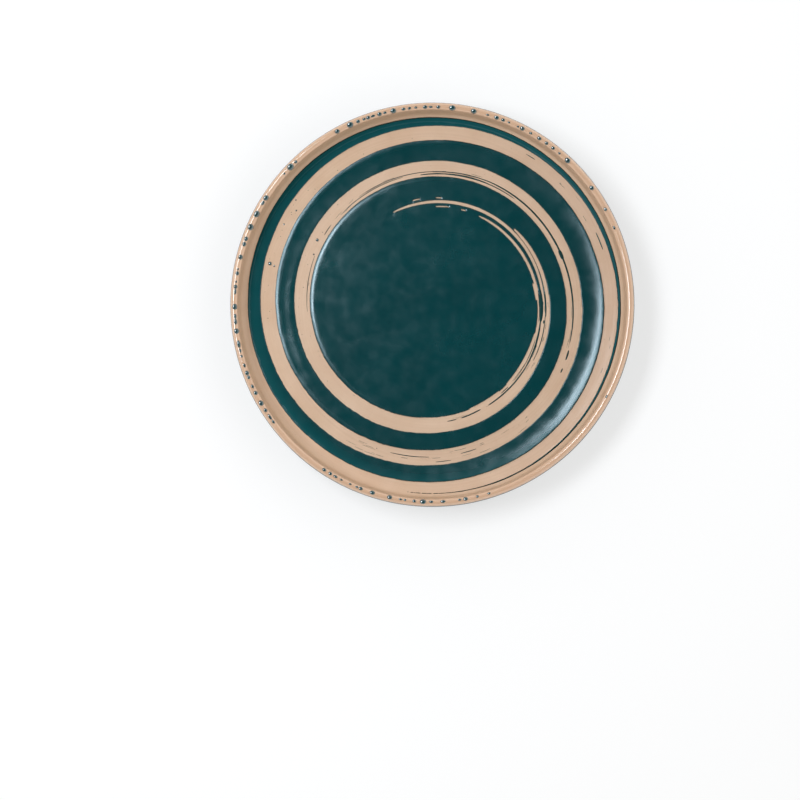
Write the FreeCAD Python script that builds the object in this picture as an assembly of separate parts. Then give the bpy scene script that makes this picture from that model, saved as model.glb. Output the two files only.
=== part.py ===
"""A shallow stoneware dinner plate: one fired body and the glaze coats that lie on it.

The section is drawn in the X-Z plane and turned about +Z. The origin is the middle of the foot
ring's contact circle. All sizes are in millimetres and all angles in degrees unless a name says
turns. Bearings run clockwise from +Y, seen from above, as the brush stroke does.
"""

import FreeCAD, Part
import math
import os
import random

from FreeCAD import Vector

# Overall size over the glaze
PLATE_DIAMETER = 208.0
PLATE_HEIGHT = 28.0

# Fired body
FLOOR_THICKNESS = 4.7
FLOOR_RISE_WIDTH = 17.5
FLOOR_RISE_SLOPE = 13.0
FLOOR_RISE_ROUND = 45.0
COVE_ROUND = 4.0
WALL_FLARE = 1.0
LIP_ROUND = 1.6
LIP_LEAN = 8.0
WIDEST_BELOW_BAND = 2.2
WIDEST_ROUND = 20.0
BELLY_ROUND = 12.0
UNDERSIDE_SLOPE = 20.0

# Foot ring
FOOT_OVERHANG = 16.6
FOOT_HEIGHT = 5.2
FOOT_TAPER = 2.2
FOOT_WIDTH = 4.6
FOOT_INNER_TAPER = 0.8
FOOT_EDGE_ROUND = 0.8
FOOT_FILLET = 1.2
RECESS_HEIGHT = 3.4
RECESS_FILLET = 1.5

# Glaze coats
LINER_COAT = 0.25
OUTER_COAT = 0.35
UNDERSIDE_COAT = 0.35
SPIRAL_COAT = 0.4
STREAK_COAT = 0.15
LIP_BAND = 3.4
FOOT_BARE_BAND = 1.1

# The waxed brush stroke that keeps the spiral free of green glaze. Its inner edge is given by how
# far it lies inside the green glaze's outer edge, once each quarter turn from a quarter before +Y.
WELL_EDGE_INSET = 1.7
STROKE_INSETS = (48.0, 46.5, 42.9, 39.4, 33.8, 30.3, 27.8, 22.5, 15.8, 11.5, 8.4, 5.9, 1.7, -1.6)
FIRST_INSET_TURN = -0.25
STROKE_START_TURN = 0.24
STROKE_END_TURN = 2.99
STROKE_WIDTH = 7.9
STROKE_TAPER = 0.6
TAPER_START_TURN = 1.5
LAST_LINE_WIDTH = 1.25
LAST_LINE_END_TURN = 2.52
POINTS_PER_TURN = 24
EDGES_PER_TURN = 3

# Dry brush at the stroke's start, and glaze streaks left on the wax:
# first turn, last turn, middle of the mark from the stroke's inner edge, width
STRANDS = (
    (-0.062, 0.29, 3.3, 1.7),
    (0.078, 0.29, 0.6, 1.1),
    (0.134, 0.29, 5.7, 1.2),
)
DASHES = (
    (-0.028, -0.020, 4.9, 0.6),
    (0.006, 0.014, 5.1, 0.6),
    (0.006, 0.024, 0.7, 0.8),
    (0.048, 0.053, 0.7, 0.7),
    (0.220, 0.238, -0.6, 0.7),
    (0.297, 0.375, -0.5, 0.7),
    (0.428, 0.475, -0.4, 0.6),
)
STREAKS = (
    (0.245, 0.275, 1.9, 0.8),
    (0.280, 0.415, 2.0, 0.4),
    (0.430, 0.460, 2.4, 0.5),
    (0.880, 0.960, 1.5, 0.3),
    (0.975, 1.000, 2.2, 0.3),
    (1.015, 1.065, 1.4, 0.4),
    (1.067, 1.290, 2.8, 0.4),
    (1.088, 1.140, 1.2, 0.3),
    (1.480, 1.515, 3.4, 0.3),
    (2.183, 2.198, 4.6, 0.3),
)

# Glaze beads on the lip's inner shoulder: bearing and footprint radius of each large one, then
# first bearing, last bearing and spacing of each run of small ones
BEAD_LEAN = 16.0
LARGE_BEADS = (
    (6.0, 1.15), (12.3, 1.1), (27.3, 0.95), (43.4, 1.2), (182.5, 1.0), (192.3, 0.95),
    (197.5, 0.9), (240.0, 1.0), (262.3, 1.1), (269.4, 1.15), (284.0, 1.0), (293.2, 1.45),
    (297.4, 1.2), (302.8, 1.1), (314.3, 1.4), (331.4, 0.95), (335.6, 1.4), (348.8, 1.1),
)
BEAD_RUNS = (
    (-12.0, 3.5, 2.2), (15.0, 41.5, 2.4), (48.0, 72.0, 8.0), (117.0, 119.0, 2.0),
    (161.0, 181.0, 3.3), (184.5, 190.5, 2.0), (199.5, 214.5, 2.1), (233.0, 238.0, 1.7),
    (242.5, 260.0, 2.2), (264.5, 267.5, 1.5), (272.5, 281.5, 1.8), (286.5, 291.0, 2.2),
    (300.0, 301.5, 1.5), (310.5, 318.0, 2.5), (337.5, 347.0, 1.6),
)
SMALL_BEAD_RADIUS = (0.35, 0.85)
BEAD_JITTER = (0.25, 0.75)
BEAD_GAP = 0.25
BEAD_SEED = 11

# Drops that fell on the waxed stroke: turn, distance from the stroke's inner edge, footprint radius
DROPS = (
    (1.7906, 4.9, 0.95), (1.7894, 2.3, 0.45), (0.8328, 3.8, 0.75), (1.8472, 2.8, 0.45),
    (1.8550, 6.0, 0.4), (1.8300, 4.7, 0.45), (0.8153, 2.4, 0.4),
)

# How high beads and drops stand, as a share of their footprint radius
BEAD_RISE = 0.34
DROP_RISE = 0.45

# Room between a bead's underside and the lip's glaze
BEAD_SEAT_GAP = 0.04

# The most of a side that its two rounded corners may take up, and the shortest straight kept
STRAIGHT_SHARE = 0.98
SHORTEST_EDGE = 1e-6


def offset_by(points, distance):
    """The open chain of corners moved outwards, which is to the right of the way it runs."""
    lines = []
    for (r0, z0), (r1, z1) in zip(points, points[1:]):
        length = math.hypot(r1 - r0, z1 - z0)
        along = ((r1 - r0) / length, (z1 - z0) / length)
        start = (r0 + along[1] * distance, z0 - along[0] * distance)
        lines.append((start, along))
    moved = [(0.0, lines[0][0][1])]
    for (p, a), (q, b) in zip(lines, lines[1:]):
        cross = a[0] * b[1] - a[1] * b[0]
        share = ((q[0] - p[0]) * b[1] - (q[1] - p[1]) * b[0]) / cross
        moved.append((p[0] + a[0] * share, p[1] + a[1] * share))
    moved.append((0.0, lines[-1][0][1]))
    return moved


def rounds_by(points, rounds, distance):
    """The corner radii of that moved chain: outer corners grow and inner corners shrink."""
    grown = []
    for before, here, after, radius in zip(points, points[1:], points[2:], rounds[1:-1]):
        turn = (here[0] - before[0]) * (after[1] - here[1]) - (here[1] - before[1]) * (after[0] - here[0])
        grown.append(max(radius + math.copysign(distance, turn), 0.0))
    return [0.0, *grown, 0.0]


def half_angle(before, here, after):
    """Half the angle between the two sides that meet in a corner."""
    back, ahead = before[0] - here[0], after[0] - here[0]
    down, up = before[1] - here[1], after[1] - here[1]
    return abs(math.atan2(back * up - down * ahead, back * ahead + down * up)) / 2


def fitted(points, rounds):
    """The corner radii, cut down where the rounds of two neighbouring corners would overlap."""
    spreads = [math.tan(half_angle(*trio)) for trio in zip(points, points[1:], points[2:])]
    reaches = [0.0, *(radius / spread for radius, spread in zip(rounds[1:-1], spreads)), 0.0]
    shares = [1.0] * len(points)
    for i, (here, there) in enumerate(zip(points, points[1:])):
        side, wanted = math.dist(here, there), reaches[i] + reaches[i + 1]
        if wanted > side + SHORTEST_EDGE:
            share = side * STRAIGHT_SHARE / wanted
            shares[i], shares[i + 1] = min(shares[i], share), min(shares[i + 1], share)
    return [radius * share for radius, share in zip(rounds, shares)]


def at_height(points, corner, height):
    """The point at this height on the line that leaves the given corner."""
    (r0, z0), (r1, z1) = points[corner], points[corner + 1]
    return (r0 + (r1 - r0) * (height - z0) / (z1 - z0), height)


def rounded_face(points, rounds):
    """A face in the X-Z plane from a closed chain of corners, each rounded by its own radius."""
    count = len(points)
    corners = [Vector(r, 0, z) for r, z in points]
    cuts = []
    for i, corner in enumerate(corners):
        back = (corners[i - 1] - corner).normalize()
        ahead = (corners[(i + 1) % count] - corner).normalize()
        half = half_angle(points[i - 1], points[i], points[(i + 1) % count])
        reach = rounds[i] / math.tan(half)
        middle = corner + (back + ahead).normalize() * (rounds[i] / math.sin(half) - rounds[i])
        cuts.append((corner + back * reach, middle, corner + ahead * reach))
    edges = []
    for i, (first, middle, last) in enumerate(cuts):
        if rounds[i] > 0:
            edges.append(Part.Arc(first, middle, last).toShape())
        following = cuts[(i + 1) % count][0]
        if last.distanceToPoint(following) > SHORTEST_EDGE:
            edges.append(Part.LineSegment(last, following).toShape())
    return Part.Face(Part.Wire(edges))


def turned(face):
    """The solid that a half section sweeps about +Z."""
    solid = face.revolve(Vector(0, 0, 0), Vector(0, 0, 1), 360)
    return Part.Solid(solid) if solid.ShapeType == "Shell" else solid


def band_height():
    """Height of the line where the liner glaze over the lip meets the outer glaze."""
    return PLATE_HEIGHT - LIP_BAND


def lip_reach(lean):
    """How far the lip's round runs in from its corner, beside a wall that leans by this angle."""
    return LIP_ROUND * math.tan(math.radians(90 - lean) / 2)


def body_chain():
    """Corners and radii of the fired body's section, from the underside out and over to the floor.

    The lip is one full round, so its width follows from its radius and the slopes beside it.
    """
    widest = PLATE_DIAMETER / 2 - OUTER_COAT
    top = PLATE_HEIGHT - LINER_COAT
    foot_top = widest - FOOT_OVERHANG
    foot_out = foot_top - FOOT_TAPER
    foot_in = foot_out - FOOT_WIDTH
    belly = FOOT_HEIGHT + FOOT_OVERHANG * math.tan(math.radians(UNDERSIDE_SLOPE))
    widest_height = band_height() - WIDEST_BELOW_BAND
    lip_out = widest - (top - widest_height) * math.tan(math.radians(LIP_LEAN))
    lip_in = lip_out - lip_reach(LIP_LEAN) - lip_reach(WALL_FLARE)
    floor = RECESS_HEIGHT + FLOOR_THICKNESS
    cove_height = floor + FLOOR_RISE_WIDTH * math.tan(math.radians(FLOOR_RISE_SLOPE))
    cove = lip_in - (top - cove_height) * math.tan(math.radians(WALL_FLARE))
    named = {
        "underside": (0.0, RECESS_HEIGHT, 0.0),
        "recess": (foot_in - FOOT_INNER_TAPER, RECESS_HEIGHT, RECESS_FILLET),
        "foot_in": (foot_in, 0.0, FOOT_EDGE_ROUND),
        "foot_out": (foot_out, 0.0, FOOT_EDGE_ROUND),
        "foot_top": (foot_top, FOOT_HEIGHT, FOOT_FILLET),
        "belly": (widest, belly, BELLY_ROUND),
        "widest": (widest, widest_height, WIDEST_ROUND),
        "lip_out": (lip_out, top, LIP_ROUND),
        "lip_in": (lip_in, top, LIP_ROUND),
        "cove": (cove, cove_height, COVE_ROUND),
        "rise": (cove - FLOOR_RISE_WIDTH, floor, FLOOR_RISE_ROUND),
        "floor": (0.0, floor, 0.0),
    }
    points = [(r, z) for r, z, _ in named.values()]
    return list(named), points, fitted(points, [radius for _, _, radius in named.values()])


NAMES, BODY, ROUNDS = body_chain()


def coat_face(first, last, inner, outer, first_height=None, last_height=None):
    """The section of a coat between two offsets of the body, from one named corner to another.

    A height ends the coat on the line that leaves the corner before the first corner or the last
    corner, and no height ends it on the axis.
    """
    start, stop = NAMES.index(first), NAMES.index(last)
    sides = []
    for distance in (inner, outer):
        chain = offset_by(BODY, distance)
        radii = rounds_by(BODY, ROUNDS, distance)
        points, bends = chain[start : stop + 1], radii[start : stop + 1]
        if first_height is not None:
            points, bends = [at_height(chain, start - 1, first_height), *points], [0.0, *bends]
        if last_height is not None:
            points, bends = [*points, at_height(chain, stop, last_height)], [*bends, 0.0]
        sides.append((points, bends))
    (near, near_bends), (far, far_bends) = sides
    return rounded_face([*near, *reversed(far)], [*near_bends, *reversed(far_bends)])


def well_edge():
    """Radius where the green glaze stops on the cove."""
    return BODY[NAMES.index("cove")][0] - LINER_COAT - WELL_EDGE_INSET


def stroke_inner(turn):
    """Radius of the stroke's inner edge: a smooth curve through its quarter turn values."""
    quarters = (turn - FIRST_INSET_TURN) * 4
    step = min(max(int(math.floor(quarters)), 0), len(STROKE_INSETS) - 2)
    t = quarters - step
    p1, p2 = STROKE_INSETS[step], STROKE_INSETS[step + 1]
    p0 = STROKE_INSETS[step - 1] if step else 2 * p1 - p2
    p3 = STROKE_INSETS[step + 2] if step + 2 < len(STROKE_INSETS) else 2 * p2 - p1
    slope_1, slope_2 = (p2 - p0) / 2, (p3 - p1) / 2
    bend = 2 * (p1 - p2) + slope_1 + slope_2
    inset = p1 + t * (slope_1 + t * (3 * (p2 - p1) - 2 * slope_1 - slope_2 + t * bend))
    return well_edge() - inset


def stroke_outer(turn):
    """Radius of the stroke's outer edge, which leaves a last thin line of green."""
    width = STROKE_WIDTH - STROKE_TAPER * max(turn - TAPER_START_TURN, 0.0)
    return min(stroke_inner(turn) + width, well_edge() - LAST_LINE_WIDTH)


def place(turn, radius, height=0.0):
    """The point at this clockwise turn from +Y and this distance from the axis."""
    angle = 2 * math.pi * turn
    return Vector(radius * math.sin(angle), radius * math.cos(angle), height)


def curve(radius_at, first, last):
    """Edges of one smooth line that follows radius_at from one turn to another."""
    count = max(int(abs(last - first) * POINTS_PER_TURN), 2)
    turns = [first + (last - first) * i / count for i in range(count + 1)]
    line = Part.BSplineCurve()
    line.interpolate(Points=[place(t, radius_at(t)) for t in turns], Parameters=list(range(count + 1)))
    pieces = math.ceil(abs(last - first) * EDGES_PER_TURN)
    return [line.toShape(count * i / pieces, count * (i + 1) / pieces) for i in range(pieces)]


def prism(edges):
    """The closed outline in plan, carried up through the whole height of the plate."""
    return Part.Face(Part.Wire(edges)).extrude(Vector(0, 0, PLATE_HEIGHT))


def band(first, last, middle, width):
    """A mark that follows the stroke from one turn to another, as a prism."""
    def low(turn):
        return stroke_inner(turn) + middle - width / 2

    def high(turn):
        return stroke_inner(turn) + middle + width / 2

    return prism([
        *curve(low, first, last),
        Part.LineSegment(place(last, low(last)), place(last, high(last))).toShape(),
        *curve(high, last, first),
        Part.LineSegment(place(first, high(first)), place(first, low(first))).toShape(),
    ])


def stroke_prism():
    """The full brush stroke. Past the last thin green line it runs out over the cove's edge."""
    outside = well_edge() + LAST_LINE_WIDTH + WELL_EDGE_INSET
    start, end, line_end = STROKE_START_TURN, STROKE_END_TURN, LAST_LINE_END_TURN
    return prism([
        *curve(stroke_inner, start, end),
        Part.LineSegment(place(end, stroke_inner(end)), place(end, outside)).toShape(),
        Part.Arc(
            place(end, outside), place((end + line_end) / 2, outside), place(line_end, outside)
        ).toShape(),
        Part.LineSegment(place(line_end, outside), place(line_end, stroke_outer(line_end))).toShape(),
        *curve(stroke_outer, line_end, start),
        Part.LineSegment(place(start, stroke_outer(start)), place(start, stroke_inner(start))).toShape(),
    ])


def spiral_glaze():
    """The green glaze in the well: a disc whose waxed stroke is left out."""
    full = turned(coat_face("cove", "floor", LINER_COAT, LINER_COAT + SPIRAL_COAT,
                            first_height=band_height()))
    disc = Part.makeCylinder(well_edge(), PLATE_HEIGHT)
    wax = [stroke_prism(), *(band(*mark) for mark in (*STRANDS, *DASHES))]
    return full.common(disc).cut(wax)


def stroke_streaks():
    """Thin streaks of green glaze that the brush left on the waxed stroke."""
    full = turned(coat_face("cove", "floor", LINER_COAT, LINER_COAT + STREAK_COAT,
                            first_height=band_height()))
    return Part.makeCompound([solid for mark in STREAKS for solid in band(*mark).common(full).Solids])


def ball(foot, outwards, footprint, height, surface_round=None):
    """A ball that shows as a dome of this footprint radius on a flat or a rounded surface."""
    sink, chord = 0.0, footprint
    if surface_round:
        sink = surface_round * (1 - math.cos(footprint / surface_round))
        chord = 2 * surface_round * math.sin(footprint / surface_round / 2)
    depth = (chord ** 2 - height ** 2) / (2 * (height + sink))
    return Part.makeSphere(depth + height, foot - outwards * depth)


def bead_marks(ring):
    """Bearing and footprint radius of every bead on a lip of this radius, so that none touch."""
    draw = random.Random(BEAD_SEED)
    marks = list(LARGE_BEADS)
    for first, last, spacing in BEAD_RUNS:
        count = max(round((last - first) / spacing), 1)
        pitch = (last - first) / count
        for i in range(count):
            bearing = first + (i + draw.uniform(*BEAD_JITTER)) * pitch
            footprint = min(draw.uniform(*SMALL_BEAD_RADIUS), math.radians(pitch) * ring / 2)
            if all(
                abs(math.radians((bearing - other + 180) % 360 - 180)) * ring > footprint + size + BEAD_GAP
                for other, size in marks
            ):
                marks.append((bearing, footprint))
    return sorted(marks)


def rim_beads():
    """Beads of green glaze on the lip's inner shoulder, each cut to sit on the liner glaze."""
    lip_r, lip_z = BODY[NAMES.index("lip_in")]
    middle_r, middle_z = lip_r + lip_reach(WALL_FLARE), lip_z - LIP_ROUND
    reach = LIP_ROUND + LINER_COAT + BEAD_SEAT_GAP
    lip = Part.makeTorus(middle_r, reach, Vector(0, 0, middle_z))
    across, up = math.sin(math.radians(BEAD_LEAN)), math.cos(math.radians(BEAD_LEAN))
    beads = []
    for bearing, footprint in bead_marks(middle_r):
        turn = bearing / 360
        foot = place(turn, middle_r - reach * across, middle_z + reach * up)
        whole = ball(foot, place(turn, -across, up), footprint, footprint * BEAD_RISE, reach)
        beads += whole.cut(lip).Solids
    return Part.makeCompound(beads)


def well_drops():
    """Drops of green glaze on the waxed stroke."""
    section = rounded_face(offset_by(BODY, LINER_COAT), rounds_by(BODY, ROUNDS, LINER_COAT))
    coated = turned(section)
    drops = []
    for turn, offset, footprint in DROPS:
        distance = stroke_inner(turn) + offset
        upright = Part.makeLine(Vector(distance, 0, 0), Vector(distance, 0, PLATE_HEIGHT))
        foot = place(turn, distance, upright.common(section).BoundBox.ZMax)
        drops += ball(foot, Vector(0, 0, 1), footprint, footprint * DROP_RISE).cut(coated).Solids
    return Part.makeCompound(drops)


def build():
    return {
        "stoneware_body": turned(rounded_face(BODY, ROUNDS)),
        "liner_glaze": turned(coat_face("lip_out", "floor", 0.0, LINER_COAT, first_height=band_height())),
        "outer_glaze": turned(coat_face("foot_top", "widest", 0.0, OUTER_COAT,
                                        first_height=FOOT_BARE_BAND, last_height=band_height())),
        "underside_glaze": turned(coat_face("underside", "recess", 0.0, UNDERSIDE_COAT,
                                            last_height=FOOT_BARE_BAND)),
        "spiral_glaze": spiral_glaze(),
        "stroke_streaks": stroke_streaks(),
        "rim_beads": rim_beads(),
        "well_drops": well_drops(),
    }


os.makedirs("parts", exist_ok=True)
for name, shape in build().items():
    shape.exportStep(f"parts/{name}.step")
    box = shape.BoundBox
    print(f"{name}: valid {shape.isValid()}, {len(shape.Solids)} solids, {shape.Volume:.1f} mm3, "
          f"X {box.XMin:.2f} to {box.XMax:.2f}, Z {box.ZMin:.2f} to {box.ZMax:.2f}")
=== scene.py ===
"""Looks of the shallow dinner plate: glaze coats, beads, streaks, bare clay, light and camera.

Lengths are in millimetres until a mesh is made. Bearings run clockwise from +Y seen from above, and
a turn is one whole round of them, as in the part's own source.
"""

import math
import random
from collections import Counter

import bpy
import numpy as np
from mathutils import Matrix, Vector, kdtree, noise
from mathutils.geometry import delaunay_2d_cdt


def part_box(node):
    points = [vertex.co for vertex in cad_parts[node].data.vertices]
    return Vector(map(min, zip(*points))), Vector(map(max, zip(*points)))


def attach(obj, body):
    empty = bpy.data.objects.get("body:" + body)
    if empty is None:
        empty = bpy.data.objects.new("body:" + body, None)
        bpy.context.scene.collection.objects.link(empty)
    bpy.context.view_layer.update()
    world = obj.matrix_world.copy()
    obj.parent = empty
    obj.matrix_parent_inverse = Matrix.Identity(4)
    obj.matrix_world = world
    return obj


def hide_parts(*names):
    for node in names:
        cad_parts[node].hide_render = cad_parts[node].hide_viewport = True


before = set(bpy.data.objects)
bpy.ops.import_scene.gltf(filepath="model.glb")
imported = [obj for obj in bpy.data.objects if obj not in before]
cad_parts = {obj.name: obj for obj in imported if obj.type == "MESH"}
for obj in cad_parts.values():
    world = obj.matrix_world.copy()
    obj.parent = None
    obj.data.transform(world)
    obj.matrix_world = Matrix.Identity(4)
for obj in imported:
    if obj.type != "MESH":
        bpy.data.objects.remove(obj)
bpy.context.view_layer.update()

MM = 0.001

# Overall sizes come from the frame. The rest of the section and its coats have the part's own values.
PLATE_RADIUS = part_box("outer_glaze")[1][0] / MM
LIP_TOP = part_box("liner_glaze")[1][2] / MM
BAND_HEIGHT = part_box("outer_glaze")[1][2] / MM
FOOT_BARE_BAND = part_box("outer_glaze")[0][2] / MM
FLOOR_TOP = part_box("liner_glaze")[0][2] / MM
RECESS_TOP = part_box("underside_glaze")[1][2] / MM
FLOOR_RISE_WIDTH = 17.5
FLOOR_RISE_SLOPE = 13.0
FLOOR_RISE_ROUND = 45.0
COVE_ROUND = 4.0
WALL_FLARE = 1.0
LIP_ROUND = 1.6
LIP_LEAN = 8.0
WIDEST_BELOW_BAND = 2.2
WIDEST_ROUND = 20.0
BELLY_ROUND = 12.0
UNDERSIDE_SLOPE = 20.0
FOOT_OVERHANG = 16.6
FOOT_HEIGHT = 5.2
FOOT_TAPER = 2.2
FOOT_WIDTH = 4.6
FOOT_INNER_TAPER = 0.8
FOOT_EDGE_ROUND = 0.8
FOOT_FILLET = 1.2
RECESS_FILLET = 1.5
LINER_COAT = 0.25
OUTER_COAT = 0.35
UNDERSIDE_COAT = 0.35
WELL_EDGE_INSET = 1.7

# The film in the well is drawn slightly thicker than its solid, and the line between the pale lip and
# the dark wall slightly higher
SPIRAL_COAT = 0.42
GLAZE_LINE_RAISE = 0.5
GLAZE_LINE = BAND_HEIGHT + GLAZE_LINE_RAISE

# The waxed stroke has the part's own course. It is drawn slightly narrower in its last turn, and the
# green line that it leaves beside the wall slightly wider and longer.
STROKE_INSETS = (48.0, 46.5, 42.9, 39.4, 33.8, 30.3, 27.8, 22.5, 15.8, 11.5, 8.4, 5.9, 1.7, -1.6)
FIRST_INSET_TURN = -0.25
STROKE_START_TURN = 0.235
STROKE_END_TURN = 2.99
STROKE_WIDTH = 7.9
STROKE_START_WIDTH = 6.3
STROKE_FULL_TURNS = (0.30, 0.43)
STROKE_TAPER = 1.3
TAPER_START_TURN = 1.38
LAST_LINE_WIDTH = 1.7
LAST_LINE_THIN_TURN = 2.18
LAST_LINE_END_TURN = 2.58
LAST_LINE_THINNING = 0.8
STROKE_OVERRUN = 2.0
STROKE_TURNS = (STROKE_START_TURN, STROKE_END_TURN)

# Marks of wax beside the full stroke: first turn, last turn, distance of the mark's middle from the
# stroke's inner edge at its start, half way and at its end, and its width
WAX_MARKS = (
    (-0.063, 0.27, 2.0, 3.55, 2.6, 1.5),
    (0.076, 0.27, 0.45, 0.36, 0.55, 1.3),
    (0.130, 0.27, 5.3, 5.3, 5.2, 1.7),
    (-0.030, -0.018, 4.7, 4.8, 4.9, 0.55),
    (0.005, 0.014, 5.0, 5.0, 5.0, 0.45),
    (0.005, 0.027, 0.4, 0.5, 0.6, 0.55),
    (0.046, 0.054, 0.5, 0.5, 0.6, 0.6),
    (0.215, 0.242, -0.7, -0.6, -0.5, 0.75),
    (0.292, 0.380, -0.2, -0.5, -0.2, 0.9),
    (0.395, 0.445, -0.3, -0.35, -0.3, 0.5),
)

# Glaze left on the wax, in the same terms. Every streak is drawn wider by DRAWN_STREAK_SPREAD.
STREAK_MARKS = (
    (0.222, 0.274, 1.72, 1.78, 1.7, 1.45),
    (0.222, 0.266, 4.1, 4.1, 4.2, 0.6),
    (0.264, 0.345, 1.6, 1.85, 2.1, 0.62),
    (0.335, 0.418, 2.1, 2.2, 2.3, 0.5),
    (0.262, 0.330, 3.9, 4.0, 3.9, 0.32),
    (0.270, 0.276, 3.4, 3.4, 3.4, 0.5),
    (0.243, 0.250, 2.6, 2.6, 2.6, 0.6),
    (0.430, 0.460, 2.3, 2.5, 2.7, 0.45),
    (0.466, 0.480, 2.6, 2.7, 2.7, 0.3),
    (0.300, 0.367, 0.9, 1.0, 1.1, 0.22),
    (0.380, 0.395, 1.2, 1.2, 1.3, 0.3),
    (0.742, 0.815, 1.4, 1.5, 1.6, 0.22),
    (0.842, 0.858, 1.9, 1.9, 1.9, 0.25),
    (0.880, 0.965, 1.4, 1.5, 1.7, 0.26),
    (0.905, 1.030, 2.2, 2.3, 2.5, 0.25),
    (0.985, 1.018, 1.1, 1.25, 1.3, 0.42),
    (1.012, 1.070, 1.3, 1.45, 1.6, 0.55),
    (1.062, 1.105, 1.5, 1.6, 1.7, 0.35),
    (1.000, 1.075, 2.2, 2.5, 2.8, 0.34),
    (1.060, 1.292, 2.8, 2.9, 3.4, 0.62),
    (1.184, 1.196, 2.85, 2.85, 2.85, 1.2),
    (1.300, 1.312, 3.8, 3.9, 3.9, 0.6),
    (1.321, 1.327, 4.0, 4.0, 4.0, 0.45),
    (1.452, 1.470, 3.8, 3.8, 3.8, 0.28),
    (1.480, 1.497, 6.2, 6.2, 6.2, 0.25),
    (1.503, 1.545, 3.5, 3.3, 3.1, 0.3),
    (2.088, 2.098, 5.0, 5.0, 5.0, 0.25),
    (2.183, 2.200, 4.3, 4.3, 4.3, 0.35),
)
DRAWN_STREAK_SPREAD = 1.6
STREAK_COAT = 0.11

# Stretches of the stroke with hairlines that a loop draws: first turn, last turn, how many, least and
# greatest distance from the stroke's inner edge, and length in turns
HAIRLINE_STRETCHES = (
    (0.24, 0.46, 22, 0.5, 2.8, 0.030),
    (0.24, 0.34, 12, 3.0, 5.6, 0.012),
    (0.60, 0.80, 5, 0.8, 2.4, 0.006),
    (0.86, 1.04, 12, 0.9, 3.0, 0.020),
    (1.04, 1.30, 10, 2.2, 3.6, 0.016),
    (1.38, 1.58, 26, 1.6, 7.0, 0.013),
    (2.12, 2.34, 8, 2.4, 5.4, 0.008),
)
HAIRLINE_SEED = 4

# Distance between neighbouring points in each kind of mesh
FLOOR_STEP = 0.5
LINER_STEP = 0.7
WALL_STEP = 0.6
EDGE_STEP = 0.55
MARK_STEP = 0.4
STREAK_STEP = 0.45
FILM_STEP = 1.5
COAT_SEGMENTS = 420
UNDERSIDE_SEGMENTS = 300
FEWEST_ARC_STEPS = 6
TINY = 1e-6

# Circles on which the points along the stroke's inner and outer edge are counted
INNER_COUNT_RADIUS = 75.0
OUTER_COUNT_RADIUS = 80.0


def smoothstep(low, high, value):
    """0 below low, 1 above high, and a smooth climb between them."""
    share = min(max((value - low) / (high - low), 0.0), 1.0)
    return share * share * (3 - 2 * share)


def raised(start, full, fading, end, value):
    """0 before start and after end, 1 from full to fading, and smooth between them."""
    return smoothstep(start, full, value) * (1 - smoothstep(fading, end, value))


# ---- section

def lip_reach(lean):
    """How far the lip's round runs in from its corner, beside a wall that leans by this angle."""
    return LIP_ROUND * math.tan(math.radians(90 - lean) / 2)


def body_chain():
    """Corners and radii of the fired body's section, from the underside out and over to the floor."""
    widest = PLATE_RADIUS - OUTER_COAT
    top = LIP_TOP - LINER_COAT
    foot_top = widest - FOOT_OVERHANG
    foot_out = foot_top - FOOT_TAPER
    foot_in = foot_out - FOOT_WIDTH
    belly = FOOT_HEIGHT + FOOT_OVERHANG * math.tan(math.radians(UNDERSIDE_SLOPE))
    widest_height = BAND_HEIGHT - WIDEST_BELOW_BAND
    lip_out = widest - (top - widest_height) * math.tan(math.radians(LIP_LEAN))
    lip_in = lip_out - lip_reach(LIP_LEAN) - lip_reach(WALL_FLARE)
    cove_height = FLOOR_TOP + FLOOR_RISE_WIDTH * math.tan(math.radians(FLOOR_RISE_SLOPE))
    cove = lip_in - (top - cove_height) * math.tan(math.radians(WALL_FLARE))
    named = {
        "underside": (0.0, RECESS_TOP, 0.0),
        "recess": (foot_in - FOOT_INNER_TAPER, RECESS_TOP, RECESS_FILLET),
        "foot_in": (foot_in, 0.0, FOOT_EDGE_ROUND),
        "foot_out": (foot_out, 0.0, FOOT_EDGE_ROUND),
        "foot_top": (foot_top, FOOT_HEIGHT, FOOT_FILLET),
        "belly": (widest, belly, BELLY_ROUND),
        "widest": (widest, widest_height, WIDEST_ROUND),
        "lip_out": (lip_out, top, LIP_ROUND),
        "lip_in": (lip_in, top, LIP_ROUND),
        "cove": (cove, cove_height, COVE_ROUND),
        "rise": (cove - FLOOR_RISE_WIDTH, FLOOR_TOP, FLOOR_RISE_ROUND),
        "floor": (0.0, FLOOR_TOP, 0.0),
    }
    return list(named), [(r, z) for r, z, _ in named.values()], [c for _, _, c in named.values()]


NAMES, BODY, ROUNDS = body_chain()


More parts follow.
